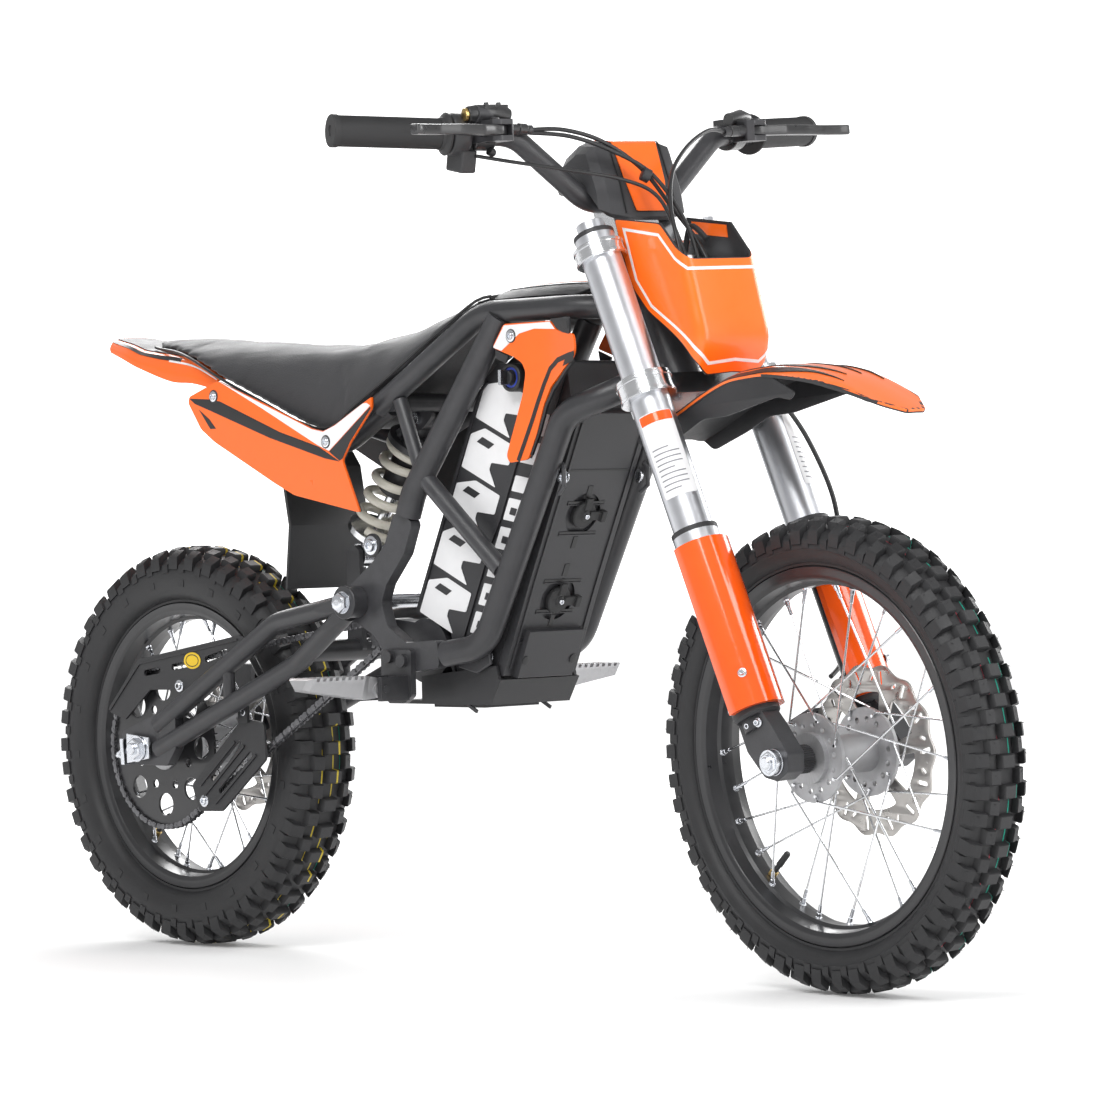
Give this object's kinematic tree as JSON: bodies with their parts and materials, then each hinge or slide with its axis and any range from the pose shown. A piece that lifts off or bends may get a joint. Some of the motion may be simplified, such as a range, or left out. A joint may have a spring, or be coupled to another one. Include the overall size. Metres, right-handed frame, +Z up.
{
  "type": "youth electric dirt bike",
  "caption": "Small off-road electric motorcycle with spoked wheels and knobbly tyres, telescopic fork, sprung swingarm, trellis frame, battery case, bench seat and folding footpegs.",
  "frame": {"origin": "centre of the bounding box's bottom face, on the ground under the middle of the bike", "axes": "+X forward, +Y to the rider's left, +Z up; the middle plane of the bike is parallel to XZ"},
  "size_m": [1.4702, 0.66, 0.9196],
  "materials": {
    "orange_plastic": "glossy moulded plastic",
    "black_plastic": "matte moulded plastic",
    "grey_plastic": "satin moulded plastic",
    "frame_black": "satin black powder coat",
    "case_black": "satin black housing with a white geometric panel",
    "seat_vinyl": "dark grey vinyl",
    "silver": "satin anodised",
    "cast_alu": "cast, lightly rough",
    "steel": "zinc plated steel",
    "dark_steel": "oiled dark steel",
    "chrome": "polished",
    "tyre": "moulded rubber",
    "rubber": "moulded rubber",
    "foam": "covered foam",
    "spring_white": "cream powder coat"
  },
  "bodies": {
    "chassis": {"frame": "frame_black", "pivot_castings": "frame_black", "pivot_bolts": "chrome", "battery_case": "case_black", "battery_cover": "black_plastic", "drive_motor": "frame_black", "skid_plate": "grey_plastic", "seat": "seat_vinyl", "tank_cover": "black_plastic", "right_shroud": "orange_plastic", "left_shroud": "orange_plastic", "rear_fender": "orange_plastic", "side_panels": "orange_plastic", "inner_fender": "black_plastic", "ignition_lock": "black_plastic", "footpeg_hangers": "frame_black"},
    "key": {"ignition_key": "steel"},
    "upper_latch_body": {"upper_latch": "rubber"},
    "lower_latch_body": {"lower_latch": "rubber"},
    "steering": {"steering_stem": "silver", "upper_clamp": "silver", "fork_outer_tubes": "silver", "handlebar": "frame_black", "bar_pad": "foam", "left_grip": "rubber", "throttle_housing": "black_plastic", "lever_perches": "frame_black", "number_plate": "orange_plastic", "front_fender": "orange_plastic", "control_cables": "rubber", "front_brake_hose": "rubber"},
    "throttle": {"throttle_grip": "rubber"},
    "right_lever": {"right_brake_lever": "frame_black"},
    "left_lever": {"left_brake_lever": "frame_black"},
    "fork_lower": {"fork_legs": "frame_black", "fork_guards": "orange_plastic", "front_axle": "steel", "front_caliper": "frame_black"},
    "front_wheel": {"front_tyre": "tyre", "front_rim": "frame_black", "front_spokes": "chrome", "front_hub": "cast_alu", "front_disc": "steel"},
    "swing": {"swingarm": "frame_black", "drive_chain": "dark_steel", "chain_guards": "black_plastic", "rear_axle": "steel", "rear_caliper": "frame_black"},
    "rear_wheel": {"rear_tyre": "tyre", "rear_rim": "frame_black", "rear_spokes": "chrome", "rear_hub": "cast_alu", "rear_sprocket": "frame_black", "rear_disc": "steel"},
    "shock_upper": {"shock_body": "frame_black", "shock_spring": "spring_white"},
    "shock_lower": {"shock_shaft": "chrome"},
    "drive_sprocket": {"motor_sprocket": "dark_steel"},
    "right_peg": {"right_footpeg": "cast_alu"},
    "left_peg": {"left_footpeg": "cast_alu"}
  },
  "joints": [
    {"name": "steering", "type": "hinge", "parent": "chassis", "child": "steering", "pos_m": [0.45468, -0.00081, 0.22207], "axis": [-0.4032, 0, 0.9151], "range_deg": [-25, 35]},
    {"name": "fork_travel", "type": "slide", "parent": "steering", "child": "fork_lower", "axis": [-0.4032, 0, 0.9151], "range_m": [0, 0.08], "stiffness_N_per_m": 2500, "springref_m": -0.12, "deforming": ["front_brake_hose"]},
    {"name": "front_wheel_spin", "type": "hinge", "parent": "fork_lower", "child": "front_wheel", "pos_m": [0.49572, -0.00473, 0.23991], "axis": [0.0798, 0.9962, 0.0351], "continuous": true},
    {"name": "swingarm_pivot", "type": "hinge", "parent": "chassis", "child": "swing", "pos_m": [-0.13312, -0.00081, 0.39697], "axis": [0, 1, 0], "range_deg": [0, 13], "stiffness_Nm_per_rad": 260, "springref_deg": -25.78, "deforming": ["drive_chain", "shock_spring"]},
    {"name": "rear_wheel_spin", "type": "hinge", "parent": "swing", "child": "rear_wheel", "pos_m": [-0.50412, -0.00081, 0.23097], "axis": [0, 1, 0], "continuous": true, "deforming": ["drive_chain"]},
    {"name": "motor_sprocket_spin", "type": "hinge", "parent": "chassis", "child": "drive_sprocket", "pos_m": [-0.13212, -0.00081, 0.35997], "axis": [0, 1, 0], "continuous": true, "deforming": ["drive_chain"]},
    {"name": "shock_swing", "type": "hinge", "parent": "chassis", "child": "shock_upper", "pos_m": [-0.10712, -0.00081, 0.59597], "axis": [0, 1, 0], "range_deg": [-6, 6]},
    {"name": "shock_stroke", "type": "slide", "parent": "shock_upper", "child": "shock_lower", "axis": [0.5833, 0, 0.8123], "range_m": [0, 0.03], "deforming": ["shock_spring"]},
    {"name": "throttle_twist", "type": "hinge", "parent": "steering", "child": "throttle", "pos_m": [0.18477, -0.1408, 0.87608], "axis": [-0.3844, -0.923, 0.0186], "range_deg": [0, 75], "stiffness_Nm_per_rad": 0.3, "springref_deg": -34.38},
    {"name": "right_lever_pull", "type": "hinge", "parent": "steering", "child": "right_lever", "pos_m": [0.20351, -0.18254, 0.87864], "axis": [0.0014, 0.0351, -0.9994], "range_deg": [0, 16], "stiffness_Nm_per_rad": 1, "springref_deg": -17.19},
    {"name": "left_lever_pull", "type": "hinge", "parent": "steering", "child": "left_lever", "pos_m": [0.2319, 0.1721, 0.89115], "axis": [-0.0014, -0.0351, 0.9994], "range_deg": [0, 16], "stiffness_Nm_per_rad": 1, "springref_deg": -17.19},
    {"name": "right_peg_fold", "type": "hinge", "parent": "chassis", "child": "right_peg", "pos_m": [-0.06612, -0.12681, 0.30497], "axis": [-1, 0, 0], "range_deg": [0, 75], "stiffness_Nm_per_rad": 0.8, "springref_deg": -28.65},
    {"name": "left_peg_fold", "type": "hinge", "parent": "chassis", "child": "left_peg", "pos_m": [-0.06612, 0.12519, 0.30497], "axis": [1, 0, 0], "range_deg": [0, 75], "stiffness_Nm_per_rad": 0.8, "springref_deg": -28.65},
    {"name": "key_turn", "type": "hinge", "parent": "chassis", "child": "key", "pos_m": [0.09688, -0.06681, 0.63197], "axis": [0, -1, 0], "range_deg": [0, 90]},
    {"name": "upper_latch_turn", "type": "hinge", "parent": "chassis", "child": "upper_latch_body", "pos_m": [0.13198, -0.00581, 0.48887], "axis": [0.9029, 0, -0.4299], "range_deg": [0, 90]},
    {"name": "lower_latch_turn", "type": "hinge", "parent": "chassis", "child": "lower_latch_body", "pos_m": [0.09028, -0.00581, 0.39907], "axis": [0.9029, 0, -0.4299], "range_deg": [0, 90]}
  ],
  "couplings": [
    {"joint": "motor_sprocket_spin", "follows": "rear_wheel_spin", "ratio": 6},
    {"joint": "shock_swing", "follows": "swingarm_pivot", "ratio": -0.01358},
    {"joint": "shock_stroke", "follows": "swingarm_pivot", "m_per_rad": 0.095012}
  ]
}
